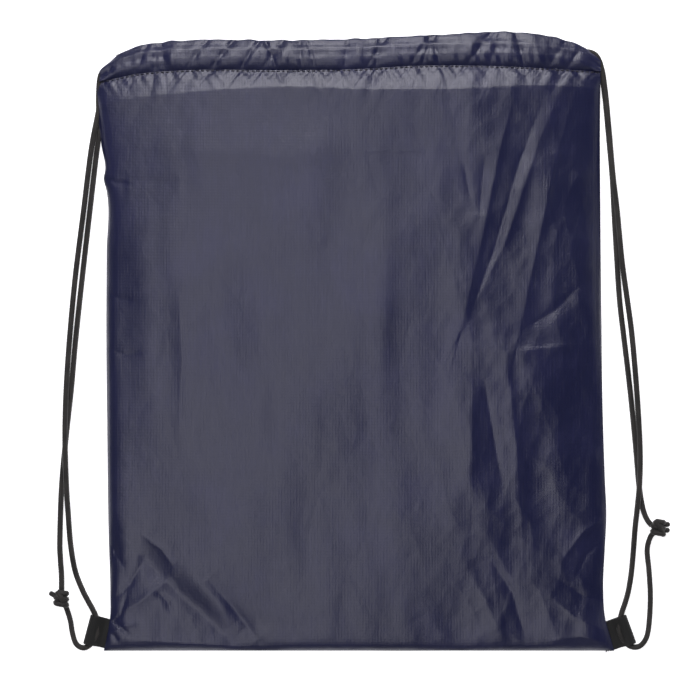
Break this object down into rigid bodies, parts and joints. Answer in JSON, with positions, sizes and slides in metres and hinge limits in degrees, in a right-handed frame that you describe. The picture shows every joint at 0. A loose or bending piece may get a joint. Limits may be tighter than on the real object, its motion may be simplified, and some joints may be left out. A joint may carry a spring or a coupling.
{
  "type": "drawstring backpack",
  "caption": "Flat cloth drawstring bag worn on the back, with channels along the mouth and cords that close it and run down to webbing tabs as shoulder straps.",
  "frame": {"origin": "centre of the bag and its tabs in plan, on the surface that the bag's back lies on", "axes": "+Y from the bottom fold to the mouth, +Z out of the back panel through the front panel, +X to the right seen from the front"},
  "size_m": [0.4205, 0.4196, 0.0181],
  "materials": {
    "bag_fabric": "satin woven polyester, dark navy",
    "cord": "braided black polyester cord",
    "webbing": "ribbed black webbing",
    "thread": "dark navy sewing thread"
  },
  "bodies": {
    "bag": {"back_panel": "bag_fabric", "back_hem": "bag_fabric", "left_side_seam": "bag_fabric", "right_side_seam": "bag_fabric", "left_side_stitching": "thread", "right_side_stitching": "thread", "back_hem_stitching": "thread", "left_tab_stitching": "thread", "right_tab_stitching": "thread", "left_cord_back_run": "cord", "left_cord_bight": "cord", "left_cord_back_exit": "cord", "left_cord_front_exit": "cord", "right_cord_back_run": "cord", "right_cord_bight": "cord", "right_cord_back_exit": "cord", "right_cord_front_exit": "cord"},
    "front": {"front_panel": "bag_fabric", "front_hem": "bag_fabric", "front_hem_stitching": "thread", "left_cord_front_run": "cord", "right_cord_front_run": "cord"},
    "left_tab": {"left_tab": "webbing"},
    "right_tab": {"right_tab": "webbing"},
    "left_strap": {"left_upper_strand": "cord", "left_lower_strand": "cord", "left_knot": "cord", "left_cord_ends": "cord"},
    "right_strap": {"right_upper_strand": "cord", "right_lower_strand": "cord", "right_knot": "cord", "right_cord_ends": "cord"}
  },
  "joints": [
    {"name": "mouth_open", "type": "hinge", "parent": "bag", "child": "front", "pos_m": [0, -0.2079, 0.003], "axis": [1, 0, 0], "range_deg": [0, 12]},
    {"name": "left_strap_swing", "type": "hinge", "parent": "bag", "child": "left_strap", "pos_m": [-0.174, -0.197, 0.0036], "axis": [-0.0056, 1, 0.0011], "range_deg": [0, 90]},
    {"name": "right_strap_swing", "type": "hinge", "parent": "bag", "child": "right_strap", "pos_m": [0.172, -0.1985, 0.0036], "axis": [0.0162, -0.9999, -0.0011], "range_deg": [0, 90]},
    {"name": "left_tab_fold", "type": "hinge", "parent": "bag", "child": "left_tab", "pos_m": [-0.174, -0.197, 0.0036], "axis": [-0.0056, 1, 0.0011], "range_deg": [0, 90]},
    {"name": "right_tab_fold", "type": "hinge", "parent": "bag", "child": "right_tab", "pos_m": [0.172, -0.1985, 0.0036], "axis": [0.0162, -0.9999, -0.0011], "range_deg": [0, 90]}
  ],
  "couplings": [
    {"joint": "left_tab_fold", "follows": "left_strap_swing", "ratio": 1},
    {"joint": "right_tab_fold", "follows": "right_strap_swing", "ratio": 1}
  ]
}
